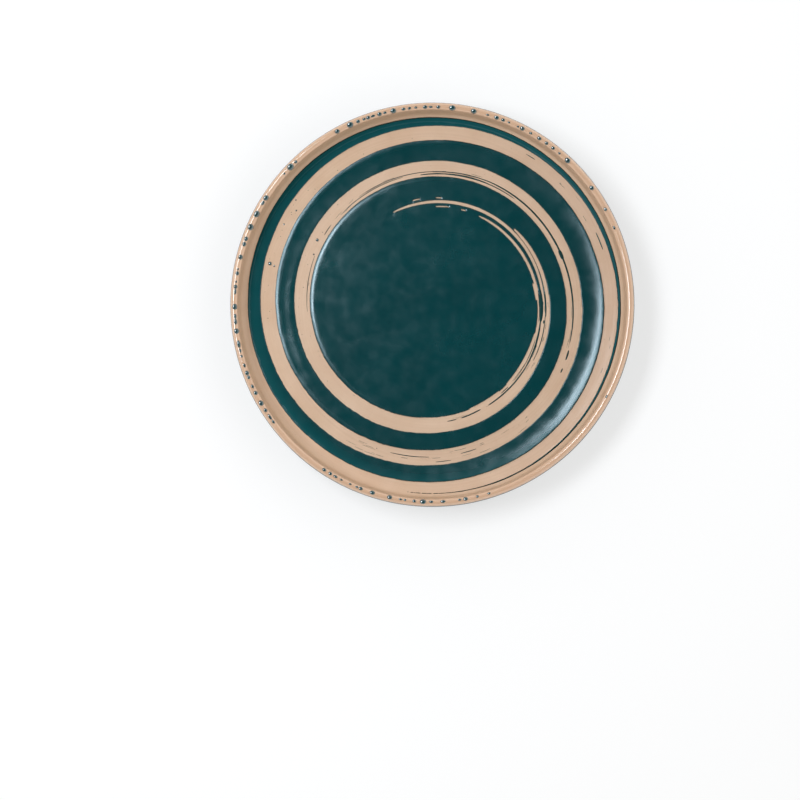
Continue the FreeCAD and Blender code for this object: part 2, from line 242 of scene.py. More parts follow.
def section(distance, step):
    """Points of the body's section moved out by distance, no further apart than step."""
    lines = []
    for (r0, z0), (r1, z1) in zip(BODY, BODY[1:]):
        length = math.hypot(r1 - r0, z1 - z0)
        along = ((r1 - r0) / length, (z1 - z0) / length)
        lines.append(((r0 + along[1] * distance, z0 - along[0] * distance), along))
    corners = [(0.0, lines[0][0][1])]
    turns = [0.0]
    for (p, a), (q, b) in zip(lines, lines[1:]):
        cross = a[0] * b[1] - a[1] * b[0]
        share = ((q[0] - p[0]) * b[1] - (q[1] - p[1]) * b[0]) / cross
        corners.append((p[0] + a[0] * share, p[1] + a[1] * share))
        turns.append(math.atan2(cross, a[0] * b[0] + a[1] * b[1]))
    corners.append((0.0, lines[-1][0][1]))
    points = [corners[0]]
    for i in range(1, len(corners) - 1):
        turn = turns[i]
        radius = max(ROUNDS[i] + math.copysign(distance, turn), 0.0)
        reach = radius * math.tan(abs(turn) / 2)
        into, out = lines[i - 1][1], lines[i][1]
        first = (corners[i][0] - into[0] * reach, corners[i][1] - into[1] * reach)
        side = math.copysign(1.0, turn)
        middle = (first[0] - into[1] * radius * side, first[1] + into[0] * radius * side)
        count = max(int(radius * abs(turn) / step), FEWEST_ARC_STEPS)
        for k in range(count + 1):
            angle = turn * k / count
            spoke = (first[0] - middle[0], first[1] - middle[1])
            points.append((
                middle[0] + spoke[0] * math.cos(angle) - spoke[1] * math.sin(angle),
                middle[1] + spoke[0] * math.sin(angle) + spoke[1] * math.cos(angle),
            ))
    points.append(corners[-1])
    dense = [points[0]]
    for here in points[1:]:
        before = dense[-1]
        gap = math.dist(before, here)
        if gap < TINY:
            continue
        count = max(math.ceil(gap / step), 1)
        dense += [between(before, here, k / count) for k in range(1, count + 1)]
    return dense


def between(before, after, share):
    """The point that lies this share of the way from one point to the next."""
    return (before[0] + (after[0] - before[0]) * share, before[1] + (after[1] - before[1]) * share)


def at_height(before, after, height):
    """The point at this height on the line between two points."""
    share = (height - before[1]) / (after[1] - before[1])
    return (before[0] + (after[0] - before[0]) * share, height)


FLOOR_LINE_BELOW_BAND = 3.0


def floor_line(distance):
    """Radii and heights of the inside surface at this coat, from the axis out to the wall."""
    points = section(distance, FLOOR_STEP)
    highest = max(range(len(points)), key=lambda i: points[i][1])
    inside = [p for p in points[highest:] if p[1] < BAND_HEIGHT - FLOOR_LINE_BELOW_BAND]
    inside.reverse()
    return np.array([p[0] for p in inside]), np.array([p[1] for p in inside])


LINER_LINE = floor_line(LINER_COAT)
WALL_IN = LINER_LINE[0].max()
WELL_EDGE = BODY[NAMES.index("cove")][0] - LINER_COAT - WELL_EDGE_INSET
FOOT_OUT = BODY[NAMES.index("foot_out")][0]


def liner_height(radius):
    """Height of the liner glaze's surface at this radius."""
    return float(np.interp(radius, LINER_LINE[0], LINER_LINE[1]))


def liner_slope(radius):
    """Tilt of the liner's surface at this radius, in radians."""
    reach = 0.2
    rise = liner_height(radius + reach) - liner_height(radius - reach)
    return math.atan2(rise, 2 * reach)


# The potter's rings: height, spacing and which way they drift round the plate. They fade out towards
# the middle. The swells: height, length and place of the noise.
THROWING_RINGS = ((0.012, 9.5, 1), (0.004, 4.1, -1))
THROWING_SWELLS = ((0.06, 34, 3.1), (0.004, 7, 7.7))
RINGS_FADE = (4.0, 20.0)


def throwing(radius, bearing):
    """Soft rings and swells that the potter's fingers left in the surface, in millimetres."""
    drift = 0.5 * math.sin(bearing) + 0.35 * math.sin(2 * bearing + 1.3)
    x, y = radius * math.sin(bearing), radius * math.cos(bearing)
    rings = sum(
        height * math.sin(2 * math.pi * radius / spacing + way * drift)
        for height, spacing, way in THROWING_RINGS
    )
    swell = sum(
        height * noise.noise(Vector((x / length, y / length, place)))
        for height, length, place in THROWING_SWELLS
    )
    return rings * smoothstep(*RINGS_FADE, radius) + swell


def liner_surface(radius, bearing):
    """Height of the liner glaze's surface at this place, with its rings and swells."""
    return liner_height(radius) + throwing(radius, bearing)


# ---- stroke

def stroke_inner(turn):
    """Radius of the stroke's inner edge: a smooth curve through its quarter turn values."""
    quarters = (turn - FIRST_INSET_TURN) * 4
    step = min(max(int(math.floor(quarters)), 0), len(STROKE_INSETS) - 2)
    t = quarters - step
    p1, p2 = STROKE_INSETS[step], STROKE_INSETS[step + 1]
    p0 = STROKE_INSETS[step - 1] if step else 2 * p1 - p2
    p3 = STROKE_INSETS[step + 2] if step + 2 < len(STROKE_INSETS) else 2 * p2 - p1
    slope_1, slope_2 = (p2 - p0) / 2, (p3 - p1) / 2
    bend = 2 * (p1 - p2) + slope_1 + slope_2
    inset = p1 + t * (slope_1 + t * (3 * (p2 - p1) - 2 * slope_1 - slope_2 + t * bend))
    return WELL_EDGE - inset


def stroke_width(turn):
    """Width of the full stroke, which opens after its start and narrows towards its end."""
    opened = smoothstep(*STROKE_FULL_TURNS, turn)
    width = STROKE_START_WIDTH + (STROKE_WIDTH - STROKE_START_WIDTH) * opened
    return width - STROKE_TAPER * max(turn - TAPER_START_TURN, 0.0)


# Slow, quick and fine strays of a brushed edge: length, place of the noise, height on a clean edge, and
# what a ragged edge adds
EDGE_STRAYS = ((11, 0.0, 0.16, 0.0), (2.2, 5.5, 0.07, 0.30), (0.9, 9.5, 0.04, 0.16))


def wander(turn, radius, seed, ragged=0.0):
    """How far a brushed edge strays from its smooth line."""
    x, y = plan(turn, radius)
    return sum(
        (clean + added * ragged) * noise.noise(Vector((x / length, y / length, seed + place)))
        for length, place, clean, added in EDGE_STRAYS
    )


# Where the brush skipped in every round, where that begins along the stroke, and how ragged it gets
RAGGED_BEARINGS = ((0.50, 0.58, 0.70, 0.76), (0.21, 0.25, 0.30, 0.34))
RAGGED_FROM_TURNS = (0.3, 0.6)
RAGGED_MOST = 0.55
RAGGED_INSIDE = 0.35

# How much of a brushed edge's wander the last green line, a mark and the well's edge have
LAST_LINE_WANDER = 0.5
MARK_WANDER = 0.5
WELL_EDGE_WANDER = 0.6

# How bluntly a mark's ends run to a point
MARK_BLUNTNESS = 0.3


def raggedness(turn):
    """How broken the stroke's outer edge is here: 0 where it is clean."""
    skipped = max(raised(*bearings, turn % 1.0) for bearings in RAGGED_BEARINGS)
    return RAGGED_MOST * skipped * smoothstep(*RAGGED_FROM_TURNS, turn)


def low_edge(turn):
    """Radius of the stroke's brushed inner edge."""
    radius = stroke_inner(turn)
    return radius + wander(turn, radius, 1.0, RAGGED_INSIDE * raggedness(turn))


def last_line_width(turn):
    """Width of the green line that is left between the stroke and the wall."""
    thinned = smoothstep(LAST_LINE_THIN_TURN, LAST_LINE_END_TURN, turn)
    return LAST_LINE_WIDTH * (1 - thinned) ** LAST_LINE_THINNING


def high_edge(turn):
    """Radius of the stroke's brushed outer edge, which stops short of the last green line."""
    radius = stroke_inner(turn) + stroke_width(turn)
    limit = WELL_EDGE - last_line_width(turn)
    stray = wander(turn, radius, 2.0, raggedness(turn))
    return min(radius + stray, limit + LAST_LINE_WANDER * stray)


def mark_edges(mark, seed):
    """Functions for the low and high edge of a mark whose ends run to a point."""
    first, last, start, middle, end, width = mark

    def half_width(share):
        return width / 2 * max(4 * share * (1 - share), 0.0) ** MARK_BLUNTNESS

    def line(turn, share):
        bow = start + (4 * middle - 3 * start - end) * share + 2 * (start + end - 2 * middle) * share ** 2
        return stroke_inner(turn) + bow

    def edge(side, edge_seed):
        def radius_at(turn):
            share = (turn - first) / (last - first)
            radius = line(turn, share) + side * half_width(share)
            stray = wander(turn, radius, edge_seed) * min(half_width(share), 1.0)
            return radius + MARK_WANDER * stray
        return radius_at

    return edge(-1, seed), edge(1, seed + 3)


def plan(turn, radius):
    """The point in plan at this clockwise turn from +Y and this distance from the axis."""
    return (radius * math.sin(2 * math.pi * turn), radius * math.cos(2 * math.pi * turn))


def turns_between(first, last, radius, step):
    """Turns from first to last, about step apart along a circle of this radius."""
    count = max(int(abs(last - first) * 2 * math.pi * radius / step), 4)
    return [first + (last - first) * i / count for i in range(count + 1)]


def mark_loop(mark, seed):
    """Closed outline in plan of one mark."""
    low, high = mark_edges(mark, seed)
    turns = turns_between(mark[0], mark[1], stroke_inner(mark[0]), MARK_STEP)
    return [plan(t, low(t)) for t in turns] + [plan(t, high(t)) for t in reversed(turns[1:-1])]


def stroke_loop():
    """Closed outline in plan of the full stroke, which runs out over the well's edge at its end."""
    outside = WELL_EDGE + STROKE_OVERRUN
    turns_in = turns_between(*STROKE_TURNS, INNER_COUNT_RADIUS, EDGE_STEP)
    turns_out = turns_between(LAST_LINE_END_TURN, STROKE_START_TURN, OUTER_COUNT_RADIUS, EDGE_STEP)
    rim = turns_between(STROKE_END_TURN, LAST_LINE_END_TURN, outside, EDGE_STEP * 2)
    return (
        [plan(t, low_edge(t)) for t in turns_in]
        + [plan(t, outside) for t in rim]
        + [plan(t, high_edge(t)) for t in turns_out]
    )


def well_loop():
    """Closed outline in plan of the green glaze's outer edge."""
    turns = turns_between(1.0, 0.0, WELL_EDGE, EDGE_STEP)[:-1]
    return [plan(t, WELL_EDGE + WELL_EDGE_WANDER * wander(t, WELL_EDGE, 4.0)) for t in turns]


# ---- meshes

def new_mesh(name, points, faces):
    """A new smooth object from points in millimetres."""
    mesh = bpy.data.meshes.new(name)
    mesh.from_pydata([(x * MM, y * MM, z * MM) for x, y, z in points], [], faces)
    mesh.validate()
    mesh.update()
    mesh.polygons.foreach_set("use_smooth", [True] * len(mesh.polygons))
    piece = bpy.data.objects.new(name, mesh)
    bpy.context.scene.collection.objects.link(piece)
    return piece


def paint(piece, name, values):
    """Stores one number per vertex for the material to read."""
    layer = piece.data.attributes.new(name, "FLOAT", "POINT")
    layer.data.foreach_set("value", values)


def join_rows(faces, rows):
    """Adds the faces between neighbouring rows of point numbers, each row a closed ring."""
    for here, there in zip(rows, rows[1:]):
        for k in range(len(here)):
            n = (k + 1) % len(here)
            face = list(dict.fromkeys([here[k], there[k], there[n], here[n]]))
            if len(face) > 2:
                faces.append(face)


def turned_shell(name, outside, inside, segments, swell, edge_wave=None):
    """A closed shell of revolution. swell(r, bearing) lifts the outside along its own normal.

    outside and inside are open lines that run the same way. A line that ends on the axis is closed
    there by one point. edge_wave(i, bearing, outline) raises point i of the whole outline.
    """
    outline = list(outside) + list(reversed(inside))
    count = len(outside)
    normals = []
    for i, (r, z) in enumerate(outside):
        r0, z0 = outside[max(i - 1, 0)]
        r1, z1 = outside[min(i + 1, count - 1)]
        length = math.hypot(r1 - r0, z1 - z0)
        normals.append(((z1 - z0) / length, -(r1 - r0) / length))
    points, rows = [], []
    for i, (r, z) in enumerate(outline):
        if r < TINY:
            rows.append([len(points)] * segments)
            points.append((0.0, 0.0, z))
            continue
        row = []
        for k in range(segments):
            bearing = 2 * math.pi * k / segments
            rr, zz = r, z
            if i < count:
                lift = swell(r, bearing)
                rr, zz = r + normals[i][0] * lift, z + normals[i][1] * lift
            if edge_wave:
                zz += edge_wave(i, bearing, outline)
            row.append(len(points))
            points.append((rr * math.sin(bearing), rr * math.cos(bearing), zz))
        rows.append(row)
    faces = []
    off_axis = min(outline[0][0], outline[-1][0]) > TINY
    join_rows(faces, rows + rows[:1] if off_axis else rows)
    return new_mesh(name, points, faces)


# The liner's rings and swells end this far outside the well's edge
SWELL_FADE = (2.0, 4.0)


def liner_line(distance):
    """The section's stretch from the glaze line on the outside wall, over the lip, to the axis."""
    points = section(distance, LINER_STEP)
    start = next(i for i, p in enumerate(points) if p[1] >= GLAZE_LINE and p[0] > WALL_IN)
    return [at_height(points[start - 1], points[start], GLAZE_LINE)] + points[start:]


def liner_glaze():
    """The pale glaze from the lip's outer line, over the lip and down over the whole floor."""
    def swell(r, bearing):
        return throwing(r, bearing) * (1 - smoothstep(*SWELL_FADE, r - WELL_EDGE))

    return turned_shell("liner_glaze_coat", liner_line(LINER_COAT), liner_line(0.0), COAT_SEGMENTS, swell)


def edge_tree(loops):
    """A search tree of the points of several outlines."""
    spots = [p for loop in loops for p in loop]
    tree = kdtree.KDTree(len(spots))
    for i, (x, y) in enumerate(spots):
        tree.insert((x, y, 0.0), i)
    tree.balance()
    return tree


# The film's edge rolls down over a short width, except along the stroke's inner edge where it faces
# the key light: there the roll is wide and has a soft sheen.
SHORT_ROLL = 0.2
WIDE_ROLL = 2.2
WIDE_ROLL_BEARING = math.radians(291)
WIDE_ROLL_SPREAD = (-0.2, 0.6)
ROLL_FULLNESS = 1.7
SOFT_EDGE = 2.4

# Rows of points beside every edge. Only every second point of an edge has the outer rows.
EDGE_ROWS = (0.16, 0.40, 0.75, 1.2, 1.8)
DENSE_ROWS = 2
ROW_CLEARANCE = 0.9
GRID_CLEARANCE = 0.4
GRID_INSET = 1.0
MERGE_DISTANCE = 1e-4

# The film's own swells, which are the liner's moved elsewhere and fade out towards the film's edges
FILM_SWELL = 0.5
FILM_SWELL_SHIFT = (1.31, 2.0)
FILM_SWELL_FADE = 2.5

# How far the film's edge and its underside are sunk into the liner
EDGE_SUNK = 0.02
UNDERSIDE_SUNK = 0.12

RIPPLE_RADIUS = 74.0
RIPPLE_WIDTH = 1.7
RIPPLE_HEIGHT = 0.17
RIPPLE_TURNS = (0.62, 0.68, 0.76, 0.83)


def film_thickness(distance, roll):
    """Thickness of the green glaze this far from an edge that rolls down over this width."""
    return SPIRAL_COAT * (1 - (1 - min(distance / roll, 1.0)) ** ROLL_FULLNESS)


def ripple(radius, bearing):
    """A finger's ridge that shows through the green ring on one side of the well."""
    share = raised(*RIPPLE_TURNS, bearing / (2 * math.pi) % 1.0)
    return RIPPLE_HEIGHT * share * math.exp(-((radius - RIPPLE_RADIUS) / RIPPLE_WIDTH) ** 2)


def rows_beside_edges(loops, tree):
    """Points in rows on both sides of every outline, which carry the rolled edges."""
    spots = []
    for loop in loops:
        for i, (x, y) in enumerate(loop):
            (x0, y0), (x1, y1) = loop[i - 1], loop[(i + 1) % len(loop)]
            length = math.hypot(x1 - x0, y1 - y0) or 1.0
            nx, ny = -(y1 - y0) / length, (x1 - x0) / length
            for gap in (EDGE_ROWS[:DENSE_ROWS] if i % 2 else EDGE_ROWS):
                for shift in (-gap, gap):
                    px, py = x + nx * shift, y + ny * shift
                    clear = tree.find((px, py, 0.0))[2] > gap * ROW_CLEARANCE
                    if clear and math.hypot(px, py) <= WELL_EDGE:
                        spots.append((px, py))
    return spots


def open_grid(tree):
    """Points in rings all over the well, clear of the rows beside the outlines."""
    spots = []
    for i in range(int(WELL_EDGE / FILM_STEP) + 1):
        radius = i * FILM_STEP
        segments = max(int(2 * math.pi * radius / FILM_STEP), 1)
        for k in range(segments):
            x, y = plan((k + 0.5 * (i % 2)) / segments, radius)
            clear = tree.find((x, y, 0.0))[2] > EDGE_ROWS[-1] + GRID_CLEARANCE
            if clear and radius < WELL_EDGE - GRID_INSET:
                spots.append((x, y))
    return spots


def film_plan(loops, extra):
    """Flat points and triangles inside the first outline and outside the others, and the rim's points."""
    spots, outlines = [], []
    for loop in loops:
        outlines.append(list(range(len(spots), len(spots) + len(loop))))
        spots += [Vector(p) for p in loop]
    spots += [Vector(p) for p in extra]
    found = delaunay_2d_cdt(spots, [], outlines, 0, MERGE_DISTANCE)
    flat, triangles, sources = found[0], found[2], found[5]
    kept = [t for t, source in zip(triangles, sources) if 0 in source and len(source) == 1]
    used = sorted({v for t in kept for v in t})
    index = {v: i for i, v in enumerate(used)}
    kept = [[index[v] for v in t] for t in kept]
    sides = Counter(frozenset(side) for a, b, c in kept for side in ((a, b), (b, c), (c, a)))
    rim = {v for side, times in sides.items() if times == 1 for v in side}
    return [flat[v] for v in used], kept, rim


def spiral_glaze():
    """The green glaze in the well, with rolled edges all along the waxed stroke."""
    loops = [well_loop(), stroke_loop()] + [mark_loop(mark, 10.0 + i) for i, mark in enumerate(WAX_MARKS)]
    tree = edge_tree(loops)
    flat, triangles, rim = film_plan(loops, rows_beside_edges(loops, tree) + open_grid(tree))
    inner_count = len(turns_between(*STROKE_TURNS, INNER_COUNT_RADIUS, EDGE_STEP))
    inner_edge = range(len(loops[0]), len(loops[0]) + inner_count)
    points, gaps, soft = [], [], []
    for i, p in enumerate(flat):
        radius = math.hypot(p.x, p.y)
        bearing = math.atan2(p.x, p.y)
        _, nearest_edge, gap = tree.find((p.x, p.y, 0.0))
        gap = 0.0 if i in rim else gap
        facing = smoothstep(*WIDE_ROLL_SPREAD, math.cos(bearing - WIDE_ROLL_BEARING))
        wide = facing * (nearest_edge in inner_edge)
        depth = film_thickness(gap, SHORT_ROLL + (WIDE_ROLL - SHORT_ROLL) * wide)
        stretch, turned = FILM_SWELL_SHIFT
        swell = FILM_SWELL * throwing(radius * stretch, bearing + turned) + ripple(radius, bearing)
        rise = depth + throwing(radius, bearing) + swell * min(gap / FILM_SWELL_FADE, 1.0)
        if i in rim:
            rise -= EDGE_SUNK
        tilt = liner_slope(radius)
        scale = 1 - math.sin(tilt) * rise / max(radius, TINY)
        points.append((p.x * scale, p.y * scale, liner_height(radius) + math.cos(tilt) * rise))
        gaps.append(gap)
        soft.append(wide * max(1 - gap / SOFT_EDGE, 0.0))
    under = {}
    for i, p in enumerate(flat):
        if i in rim:
            under[i] = i
            continue
        under[i] = len(points)
        points.append((p.x, p.y, liner_height(math.hypot(p.x, p.y)) - UNDERSIDE_SUNK))
        gaps.append(gaps[i])
        soft.append(0.0)
    faces = triangles + [[under[c], under[b], under[a]] for a, b, c in triangles]
    piece = new_mesh("spiral_glaze_film", points, faces)
    paint(piece, "edge_gap", gaps)
    paint(piece, "soft_edge", soft)
    return piece


# A streak's section: places across it, how deep edges and keel are sunk, and its width when fully domed
STREAK_ACROSS = (0.0, 0.2, 0.5, 0.8, 1.0)
STREAK_SUNK = 0.01
KEEL_SUNK = 0.1
FULL_DOME_WIDTH = 0.5
STREAK_EDGE_GAP = 0.5


def ribbon(points, faces, mark, seed):
    """Adds one low streak of glaze, pointed at both ends, to the lists of a mesh."""
    low, high = mark_edges(mark, seed)
    rows = []
    for turn in turns_between(mark[0], mark[1], stroke_inner(mark[0]), STREAK_STEP):
        row = []
        inner, outer = low(turn), high(turn)
        bearing = 2 * math.pi * turn
        for share in STREAK_ACROSS:
            radius = inner + (outer - inner) * share
            fullness = min((outer - inner) / FULL_DOME_WIDTH, 1.0)
            dome = STREAK_COAT * fullness * 4 * share * (1 - share)
            row.append(len(points))
            points.append((*plan(turn, radius), liner_surface(radius, bearing) + dome - STREAK_SUNK))
        middle = (inner + outer) / 2
        row.append(len(points))
        points.append((*plan(turn, middle), liner_surface(middle, bearing) - KEEL_SUNK))
        rows.append(row)
    join_rows(faces, rows)
    faces.append(rows[0])
    faces.append(rows[-1][::-1])


def hairlines():
    """Hairlines that the brush left beside the drawn streaks, each as a streak mark."""
    draw = random.Random(HAIRLINE_SEED)
    marks = []
    for first, last, count, low, high, length in HAIRLINE_STRETCHES:
        for _ in range(count):
            start = draw.uniform(first, last)
            offset = draw.uniform(low, high)
            run = length * draw.uniform(0.25, 1.0)
            end_offset = offset + draw.uniform(-0.1, 0.1)
            width = draw.uniform(0.10, 0.22)
            marks.append((start, start + run, offset, offset, end_offset, width))
    return marks


def stroke_streaks():
    """Streaks and hairlines of green glaze on the waxed stroke."""
    points, faces = [], []
    drawn = [(*mark[:5], mark[5] * DRAWN_STREAK_SPREAD) for mark in STREAK_MARKS]
    for i, mark in enumerate((*drawn, *hairlines())):
        ribbon(points, faces, mark, 40.0 + i)
    piece = new_mesh("stroke_streak_lines", points, faces)
    paint(piece, "edge_gap", [STREAK_EDGE_GAP] * len(points))
    return piece


def islands(node):
    """Corners of every separate solid in a node's mesh, in millimetres."""
    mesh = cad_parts[node].data
    keys = [tuple(round(c / MM, 3) for c in v.co) for v in mesh.vertices]
    joined = {key: key for key in keys}

    def root(v):
        while joined[v] != v:
            joined[v] = joined[joined[v]]
            v = joined[v]
        return v

    for polygon in mesh.polygons:
        first = root(keys[polygon.vertices[0]])
        for v in polygon.vertices[1:]:
            joined[root(keys[v])] = first
    groups = {}
    for key in joined:
        groups.setdefault(root(key), []).append(key)
    return [np.array(group) for _, group in sorted(groups.items())]


# A drop's round shoulder, and how far it reaches below its foot as a share of its height
DROP_SHOULDER = 0.9
DROP_BELOW = 0.8


def droplet(points, faces, foot, outwards, along, size, height, stretch, rings):
    """Adds one rounded drop of glaze to the lists of a mesh."""
    across = outwards.cross(along)
    segments = rings * 3
    rows = []
    for i in range(rings + 1):
        angle = math.pi * i / rings
        side = math.sin(angle) ** DROP_SHOULDER * size
        up = math.cos(angle) * height
        if up < 0:
            up *= DROP_BELOW
        ring = range(segments) if 0 < i < rings else range(1)
        first = len(points)
        rows.append([first + k for k in ring] if len(ring) > 1 else [first] * segments)
        for k in ring:
            turn = 2 * math.pi * k / segments
            lengthwise = along * (side * math.cos(turn) * stretch)
            points.append(tuple(foot + lengthwise + across * (side * math.sin(turn)) + outwards * up))
    join_rows(faces, rows)


# How high a drop stands, as a share of its size
DROP_RISE = 0.5

# How a bead is drawn: its size as a multiple of its solid's, its stretch along the lip, and its rings
BIG_BEAD = ((1.45, 1.6), (1.1, 1.3), 10)
SMALL_BEAD = ((1.2, 1.6), (1.1, 1.9), 6)
RUNNY_BEAD = ((1.2, 1.6), (1.1, 2.8), 6)
BIG_BEAD_SPREAD = 0.55
RUNNY_TURNS = (0.60, 0.80)
BEAD_SEED = 21


def rim_beads():
    """Glossy beads of green glaze on the lip, one for each bead of the part."""
    draw = random.Random(BEAD_SEED)
    points, faces = [], []
    lip_r, lip_z = BODY[NAMES.index("lip_in")]
    middle_r, middle_z = lip_r + lip_reach(WALL_FLARE), lip_z - LIP_ROUND
    for group in islands("rim_beads"):
        centre = Vector(group.mean(axis=0))
        radial = Vector((centre.x, centre.y, 0.0)).normalized()
        along = Vector((radial.y, -radial.x, 0.0))
        spread = max(abs(Vector(p - np.array(centre)).dot(along)) for p in group)
        middle = radial * middle_r + Vector((0, 0, middle_z))
        outwards = (centre - middle).normalized()
        foot = middle + outwards * (LIP_ROUND + LINER_COAT)
        turn = math.atan2(radial.x, radial.y) / (2 * math.pi) % 1.0
        small = RUNNY_BEAD if RUNNY_TURNS[0] < turn < RUNNY_TURNS[1] else SMALL_BEAD
        sizes, stretches, rings = BIG_BEAD if spread > BIG_BEAD_SPREAD else small
        size = spread * draw.uniform(*sizes)
        stretch = draw.uniform(*stretches)
        droplet(points, faces, foot, outwards, along, size, size * DROP_RISE, stretch, rings)
    return new_mesh("rim_bead_drops", points, faces)


# Drops are drawn a little larger than their solids. The specks between them lie around these bearings
# in these rounds of the stroke, at these distances from its inner edge.
WELL_DROP_SIZE = 1.05
WELL_DROP_RINGS = 8
SPECK_COUNT = 46
SPECK_ROUNDS = (0.0, 1.0, 1.0, 2.0)
SPECK_BEARINGS = (0.62, 0.78, 0.84, 0.9)
SPECK_SCATTER = 0.1
SPECK_LAST_TURN = 2.6
SPECK_OFFSETS = (0.8, 6.5)
SPECK_SIZES = (0.10, 0.22)
SPECK_STRETCH = 1.2
SPECK_RINGS = 4
SPECK_SEED = 8


def well_drops():
    """Drops of green glaze on the stroke, and a scatter of fine specks between them."""
    draw = random.Random(SPECK_SEED)
    points, faces = [], []
    up, along = Vector((0, 0, 1)), Vector((1, 0, 0))

    def add(x, y, size, height, stretch, rings):
        foot = Vector((x, y, liner_surface(math.hypot(x, y), math.atan2(x, y))))
        droplet(points, faces, foot, up, along, size, height, stretch, rings)

    for group in islands("well_drops"):
        x, y, _ = group.mean(axis=0)
        size = max(np.hypot(p[0] - x, p[1] - y) for p in group)
        add(x, y, size * WELL_DROP_SIZE, size * DROP_RISE, 1.0, WELL_DROP_RINGS)
    for _ in range(SPECK_COUNT):
        turn = draw.choice(SPECK_ROUNDS) + draw.choice(SPECK_BEARINGS)
        turn += draw.uniform(-SPECK_SCATTER, SPECK_SCATTER)
        if turn > SPECK_LAST_TURN:
            continue
        x, y = plan(turn, stroke_inner(turn) + draw.uniform(*SPECK_OFFSETS))
        size = draw.uniform(*SPECK_SIZES)
        add(x, y, size, size * DROP_RISE, SPECK_STRETCH, SPECK_RINGS)
    return new_mesh("well_drop_spots", points, faces)


def nearest(line, point):
    """The point of a line nearest to the given point."""
    return min(line, key=lambda p: math.dist(p, point))


def wall_line(distance):
    """The section's stretch on the outside wall, from the bare foot up to the glaze line."""
    points = section(distance, WALL_STEP)
    foot = next(i for i, p in enumerate(points) if p[0] > FOOT_OUT - 1)
    start = next(i for i in range(foot, len(points)) if points[i][1] >= FOOT_BARE_BAND)
    stop = next(i for i in range(start, len(points)) if points[i][1] >= GLAZE_LINE)
    return points[start:stop + 1]


# The outside glaze rolls down over this width at both edges, to this share of its thickness. Its lower
# edge wavers: height, fineness and place of the noise.
WALL_ROLL = 0.9
WALL_ROLL_FULLNESS = 2.2
WALL_EDGE_SHARE = 0.12
WALL_WAVES = ((0.10, 9, 1.7), (0.05, 40, 2.7))
WALL_WAVE_REACH = 3.0
WALL_SWELL = 0.03


def outer_glaze():
    """The green glaze on the outside wall. Its lower edge wavers above the bare foot."""
    outside, inside = wall_line(OUTER_COAT), wall_line(0.0)
    count = len(outside)
    lengths = [0.0]
    for here, there in zip(outside, outside[1:]):
        lengths.append(lengths[-1] + math.dist(here, there))
    rolled = []
    for point, length in zip(outside, lengths):
        gap = min(length, lengths[-1] - length)
        fullness = 1 - (1 - min(gap / WALL_ROLL, 1.0)) ** WALL_ROLL_FULLNESS
        share = WALL_EDGE_SHARE + (1 - WALL_EDGE_SHARE) * fullness
        rolled.append(between(nearest(inside, point), point, share))

    def swell(r, bearing):
        x, y = math.sin(bearing), math.cos(bearing)
        return WALL_SWELL * noise.noise(Vector((x * 5, y * 5, r / 9)))

    def wave(i, bearing, outline):
        if i >= count:
            back = len(outline) - 1 - i
            i = min(int(back * count / max(len(outline) - count, 1)), count - 1)
        x, y = math.sin(bearing), math.cos(bearing)
        low = sum(
            height * noise.noise(Vector((x * waves, y * waves, place)))
            for height, waves, place in WALL_WAVES
        )
        return low * (1 - smoothstep(0.0, WALL_WAVE_REACH, lengths[i]))

    piece = turned_shell("outer_glaze_coat", rolled, inside, COAT_SEGMENTS, swell, wave)
    heights = [v.co.z / MM for v in piece.data.vertices]
    paint(piece, "edge_gap", [max(min(z - FOOT_BARE_BAND, GLAZE_LINE - z), 0.0) for z in heights])
    return piece


def underside_line(distance):
    """The section's stretch inside the foot ring, from the axis out and down to the bare foot."""
    points = section(distance, WALL_STEP)
    stop = next(i for i, p in enumerate(points) if p[1] <= FOOT_BARE_BAND)
    return points[:stop] + [at_height(points[stop - 1], points[stop], FOOT_BARE_BAND)]


# The underside's glaze breaks brown only outside this radius. The rest counts as far from an edge.
UNDERSIDE_EDGE_RADIUS = 70
UNDERSIDE_OPEN_GAP = 2.0
UNDERSIDE_SWELL = 0.5


def underside_glaze():
    """The green glaze inside the foot ring."""
    def swell(r, bearing):
        return UNDERSIDE_SWELL * throwing(r * 0.9 + 3, bearing + 1.0)

    outside, inside = underside_line(UNDERSIDE_COAT), underside_line(0.0)
    piece = turned_shell("underside_glaze_coat", outside, inside, UNDERSIDE_SEGMENTS, swell)
    gaps = []
    for v in piece.data.vertices:
        near_foot = v.co.xy.length / MM > UNDERSIDE_EDGE_RADIUS
        gaps.append(max(v.co.z / MM - FOOT_BARE_BAND, 0.0) if near_foot else UNDERSIDE_OPEN_GAP)
    paint(piece, "edge_gap", gaps)
    return piece


# ---- materials

def linear(*rgb):
    """A colour written in 0 to 255 display steps, as linear values."""
    values = [(c / 255 + 0.055) ** 2.4 / 1.055 ** 2.4 if c > 10 else c / 255 / 12.92 for c in rgb]
    return (*values, 1.0)


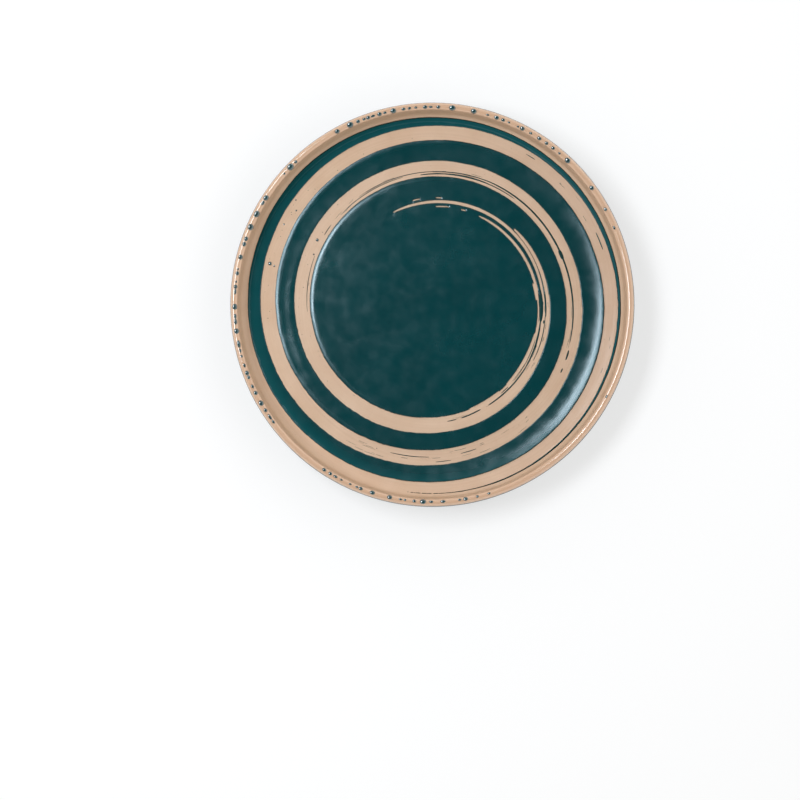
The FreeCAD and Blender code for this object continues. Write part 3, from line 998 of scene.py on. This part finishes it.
class Nodes:
    """A short way to build the node tree of a material or a world."""

    def __init__(self, owner, shader="Principled BSDF", place="Object"):
        owner.use_nodes = True
        self.owner = owner
        self.tree = owner.node_tree
        self.shader = self.tree.nodes[shader]
        self.place = self.tree.nodes.new("ShaderNodeTexCoord").outputs[place]

    def feed(self, socket, value):
        """Links another node's output to a socket, or sets the socket to a plain value."""
        if isinstance(value, bpy.types.NodeSocket):
            self.tree.links.new(value, socket)
        else:
            socket.default_value = value

    def add(self, kind, inputs, **settings):
        node = self.tree.nodes.new(kind)
        for key, value in settings.items():
            setattr(node, key, value)
        for key, value in inputs.items():
            self.feed(node.inputs[key], value)
        return node

    def noise(self, scale, detail=3.0, rough=0.5):
        return self.add("ShaderNodeTexNoise", {"Vector": self.place, "Scale": scale, "Detail": detail,
                                               "Roughness": rough}).outputs["Fac"]

    def ramp(self, factor, *stops):
        node = self.add("ShaderNodeValToRGB", {"Fac": factor})
        for _ in stops[2:]:
            node.color_ramp.elements.new(0.5)
        for element, (position, color) in zip(node.color_ramp.elements, stops):
            element.position = position
            element.color = color
        return node.outputs["Color"]

    def span(self, value, low, high, to_low=0.0, to_high=1.0):
        return self.add("ShaderNodeMapRange", {"Value": value, "From Min": low, "From Max": high,
                                               "To Min": to_low, "To Max": to_high}).outputs[0]

    def mix(self, factor, a, b):
        return self.add("ShaderNodeMix", {0: factor, 6: a, 7: b}, data_type="RGBA").outputs[2]

    def tint(self, base, color, share, mask):
        """The base colour with this share of another one laid over it where the mask is 1."""
        return self.mix(self.times(mask, share), base, color)

    def times(self, a, b):
        return self.add("ShaderNodeMath", {0: a, 1: b}, operation="MULTIPLY").outputs[0]

    def plus(self, a, b):
        return self.add("ShaderNodeMath", {0: a, 1: b}, operation="ADD").outputs[0]

    def attribute(self, name):
        return self.add("ShaderNodeAttribute", {}, attribute_name=name).outputs["Fac"]

    def seen_by_camera(self):
        """1 for what the camera sees directly, and 0 for reflections and light."""
        return self.add("ShaderNodeLightPath", {}).outputs["Is Camera Ray"]

    def bump(self, height, strength, distance):
        return self.add("ShaderNodeBump", {"Height": height, "Strength": strength,
                                           "Distance": distance}).outputs["Normal"]

    def radius(self):
        """Distance from the plate's axis, in metres."""
        flat = self.add("ShaderNodeVectorMath", {0: self.place, 1: (1.0, 1.0, 0.0)}, operation="MULTIPLY")
        return self.add("ShaderNodeVectorMath", {0: flat.outputs[0]}, operation="LENGTH").outputs["Value"]

    def height(self):
        return self.add("ShaderNodeSeparateXYZ", {0: self.place}).outputs["Z"]

    def finish(self, **inputs):
        for key, value in inputs.items():
            self.feed(self.shader.inputs[key.replace("_", " ")], value)
        return self.owner


def new_material(name):
    """The node tree of a new material."""
    return Nodes(bpy.data.materials.new(name))


GLOSSY_COAT_IOR = 1.9


def buff_material():
    """Pale satin glaze over stoneware: glossy and warm at the lip, with iron specks and faint rings."""
    m = new_material("buff_glaze")
    height = m.height()
    base = m.ramp(m.noise(55.0, 4.0, 0.6), (0.3, linear(205, 173, 145)), (0.7, linear(214, 185, 159)))
    rings = m.add("ShaderNodeTexNoise", {"W": m.times(m.radius(), 900.0), "Scale": 1.0, "Detail": 3.0},
                  noise_dimensions="1D").outputs["Fac"]
    base = m.mix(m.span(rings, 0.35, 0.7, 0.0, 0.35), base, linear(198, 166, 138))
    base = m.tint(base, linear(204, 170, 140), 0.5, m.span(height, 0.011, 0.020))
    base = m.tint(base, linear(206, 166, 134), 0.8, m.span(height, 0.0240, 0.0276))
    base = m.tint(base, linear(132, 98, 70), 0.45, m.span(m.noise(1500.0, 2.0), 0.70, 0.76))
    rough = m.span(m.noise(240.0), 0.3, 0.7, 0.46, 0.56)
    bumps = m.plus(m.noise(900.0), m.times(rings, 0.6))
    shine = m.span(height, 0.0255, 0.0270, 0.05, 0.9)
    return m.finish(Base_Color=base, Roughness=rough, Normal=m.bump(bumps, 0.25, 0.00012),
                    Coat_Weight=shine, Coat_Roughness=0.04, Coat_IOR=GLOSSY_COAT_IOR)


# The film is painted a lighter green near the wall, a painted reflection of the room on the cove's slope,
# and dries to a matte line at the well's edge (in metres)
COVE_SHEEN_ZONE = (0.087, 0.093)
DRY_ZONE = (0.0948, 0.0960)


def green_material(name, deep, body, thin, gloss, shine, relief, in_well):
    """Dark blue green satin glaze that breaks brown where it runs thin at an edge."""
    m = new_material(name)
    base = m.ramp(m.noise(30.0, 5.0, 0.6), (0.3, deep), (0.72, body))
    base = m.tint(base, body, 0.25, m.span(m.noise(700.0, 3.0, 0.6), 0.35, 0.75))
    if in_well:
        # Painted reflection: the green is lightened on the cove's slope near the wall
        base = m.mix(m.span(m.radius(), *COVE_SHEEN_ZONE, 0.0, 0.6), base, linear(8, 84, 90))
    wavering = m.plus(m.attribute("edge_gap"), m.span(m.noise(600.0), 0.3, 0.7, -0.08, 0.08))
    base = m.mix(m.span(wavering, 0.12, 0.42, 1.0, 0.0), base, thin)
    base = m.tint(base, linear(70, 120, 120), 0.08, m.span(m.noise(1300.0, 2.0), 0.75, 0.80))
    rough = m.span(m.noise(160.0, 4.0), 0.3, 0.7, gloss - 0.04, gloss + 0.05)
    if in_well:
        soft = m.attribute("soft_edge")
        dry = m.span(m.radius(), *DRY_ZONE)
        rough = m.plus(rough, m.times(soft, 0.14))
        rough = m.plus(rough, m.times(dry, 0.30))
        shine = m.times(m.span(soft, 0.0, 1.0, shine, 0.5 * shine), m.span(dry, 0.0, 1.0, 1.0, 0.12))
    bumps = m.plus(m.noise(420.0, 4.0, 0.6), m.times(m.noise(1700.0, 2.0), 0.3))
    return m.finish(Base_Color=base, Roughness=rough, Normal=m.bump(bumps, relief, 0.00015),
                    Specular_IOR_Level=shine, Specular_Tint=(0.82, 1.0, 1.08, 1.0))


def film_material():
    """The green glaze in the well."""
    return green_material("green_glaze_film", linear(0, 55, 59), linear(0, 62, 66), linear(30, 44, 34),
                          gloss=0.18, shine=1.15, relief=0.05, in_well=True)


def line_material():
    """The green glaze of the streaks, which is thin and nearly matte."""
    return green_material("green_glaze_line", linear(0, 42, 42), linear(4, 52, 50), linear(30, 44, 34),
                          gloss=0.45, shine=0.25, relief=0.05, in_well=True)


def wall_material():
    """The green glaze outside and underneath."""
    return green_material("green_glaze_wall", linear(4, 56, 60), linear(12, 66, 70), linear(40, 52, 34),
                          gloss=0.24, shine=0.6, relief=0.02, in_well=False)


def bead_material():
    """The same green glaze, gathered thick into glossy drops."""
    m = new_material("green_bead")
    base = m.ramp(m.noise(400.0), (0.3, linear(0, 50, 54)), (0.7, linear(6, 66, 70)))
    return m.finish(Base_Color=base, Roughness=0.16, Specular_IOR_Level=1.0, Coat_Weight=1.0,
                    Coat_Roughness=0.12, Coat_IOR=GLOSSY_COAT_IOR)


def clay_material():
    """Bare fired stoneware with grog and iron specks."""
    m = new_material("bare_clay")
    base = m.ramp(m.noise(320.0, 5.0, 0.65), (0.3, linear(214, 184, 146)), (0.7, linear(234, 210, 174)))
    base = m.tint(base, linear(120, 84, 56), 0.6, m.span(m.noise(2200.0, 2.0), 0.66, 0.72))
    bumps = m.plus(m.noise(900.0, 4.0, 0.7), m.times(m.noise(3000.0), 0.5))
    return m.finish(Base_Color=base, Roughness=0.82, Normal=m.bump(bumps, 0.5, 0.0002))


# ---- pieces

def dress(piece, material, slot, *nodes):
    """Gives a piece its material and says which body it rides and which nodes it replaces."""
    piece.data.materials.clear()
    piece.data.materials.append(material)
    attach(piece, "root")
    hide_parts(*nodes)


def build_plate():
    """All glaze pieces, and bare clay on the fired body, which keeps its own mesh."""
    bead, wall = bead_material(), wall_material()
    dress(liner_glaze(), buff_material(), "buff_glaze", "liner_glaze")
    dress(spiral_glaze(), film_material(), "green_glaze", "spiral_glaze")
    dress(stroke_streaks(), line_material(), "green_glaze", "stroke_streaks")
    dress(rim_beads(), bead, "green_glaze", "rim_beads")
    dress(well_drops(), bead, "green_glaze", "well_drops")
    dress(outer_glaze(), wall, "green_glaze", "outer_glaze")
    dress(underside_glaze(), wall, "green_glaze", "underside_glaze")
    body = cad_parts["stoneware_body"]
    body.data.materials.clear()
    body.data.materials.append(clay_material())


# ---- stage

WHITE = (1.0, 1.0, 1.0, 1.0)
FLOOR_REACH = 6.0
FLOOR_GLOW = 0.58
FLOOR_LIT = (0.80, 0.80, 0.80, 1.0)
FLOOR_SEEN = (0.42, 0.42, 0.42, 1.0)

# The room's glow by height, on its dim and on its bright side
SKY_DIM_SIDE = (
    (0.20, (1.40, 1.36, 1.30, 1.0)), (0.50, (0.50, 0.49, 0.47, 1.0)), (0.80, (0.02, 0.02, 0.02, 1.0)),
)
SKY_BRIGHT_SIDE = (
    (0.20, (1.40, 1.36, 1.30, 1.0)), (0.62, (0.86, 0.85, 0.83, 1.0)), (0.94, (0.03, 0.03, 0.03, 1.0)),
)
BRIGHT_SIDE = (1.0, 0.0, 0.0)
BRIGHT_SIDE_SPREAD = (-0.5, 0.7)

CAMERA_PLACE = (0.021, -0.042, 1.200)
CAMERA_TARGET = (-0.0166, -0.049, 0.015)
CAMERA_LENS = 103.0


def area_light(name, place, size, power, color, mirrored):
    """An oblong lamp that faces the plate's middle, and shows in glossy surfaces only if mirrored."""
    lamp = bpy.data.lights.new(name, "AREA")
    lamp.shape = "RECTANGLE"
    lamp.size, lamp.size_y = size
    lamp.energy = power
    lamp.color = color
    holder = bpy.data.objects.new(name, lamp)
    holder.location = place
    holder.rotation_euler = (-Vector(place)).to_track_quat("-Z", "Y").to_euler()
    holder.visible_glossy = mirrored
    bpy.context.scene.collection.objects.link(holder)


def stage_floor():
    """A pale floor that shows white to the camera and keeps the plate's shadow."""
    corners = [(x * FLOOR_REACH, y * FLOOR_REACH, 0) for x, y in ((-1, -1), (1, -1), (1, 1), (-1, 1))]
    mesh = bpy.data.meshes.new("floor")
    mesh.from_pydata(corners, [], [(0, 1, 2, 3)])
    m = new_material("floor")
    seen = m.seen_by_camera()
    mesh.materials.append(m.finish(
        Base_Color=m.mix(seen, FLOOR_LIT, FLOOR_SEEN), Roughness=1.0, Specular_IOR_Level=0.0,
        Emission_Color=WHITE, Emission_Strength=m.times(seen, FLOOR_GLOW),
    ))
    floor = bpy.data.objects.new("floor", mesh)
    bpy.context.scene.collection.objects.link(floor)


def world_light():
    """A white room whose walls glow, more so on one side, and whose ceiling is dark."""
    world = bpy.data.worlds.new("studio")
    bpy.context.scene.world = world
    m = Nodes(world, "Background", "Generated")
    facing = m.add("ShaderNodeVectorMath", {0: m.place, 1: BRIGHT_SIDE}, operation="DOT_PRODUCT")
    side = m.span(facing.outputs["Value"], *BRIGHT_SIDE_SPREAD)
    height = m.height()
    room = m.mix(side, m.ramp(height, *SKY_DIM_SIDE), m.ramp(height, *SKY_BRIGHT_SIDE))
    m.finish(Color=m.mix(m.seen_by_camera(), room, WHITE))


def camera():
    """A camera whose picture keeps +Y up."""
    data = bpy.data.cameras.new("camera")
    data.lens = CAMERA_LENS
    data.clip_start = 0.01
    holder = bpy.data.objects.new("camera", data)
    ahead = (Vector(CAMERA_TARGET) - Vector(CAMERA_PLACE)).normalized()
    right = ahead.cross(Vector((0, 1, 0))).normalized()
    up = right.cross(ahead)
    turn = Matrix((right, up, -ahead)).transposed().to_4x4()
    holder.matrix_world = Matrix.Translation(CAMERA_PLACE) @ turn
    bpy.context.scene.collection.objects.link(holder)
    bpy.context.scene.camera = holder


def build_stage():
    """Floor, room, lamps and camera. The key lamp stands to the upper left of the picture."""
    stage_floor()
    world_light()
    area_light("key", (-0.457, 0.175, 0.975), (0.56, 0.30), 6.9, (0.96, 1.0, 1.05), True)
    area_light("fill", (0.80, 0.02, 0.86), (1.3, 1.0), 2.8, (0.96, 1.0, 1.03), False)
    camera()
    bpy.context.scene.view_settings.view_transform = "Standard"


build_plate()
build_stage()
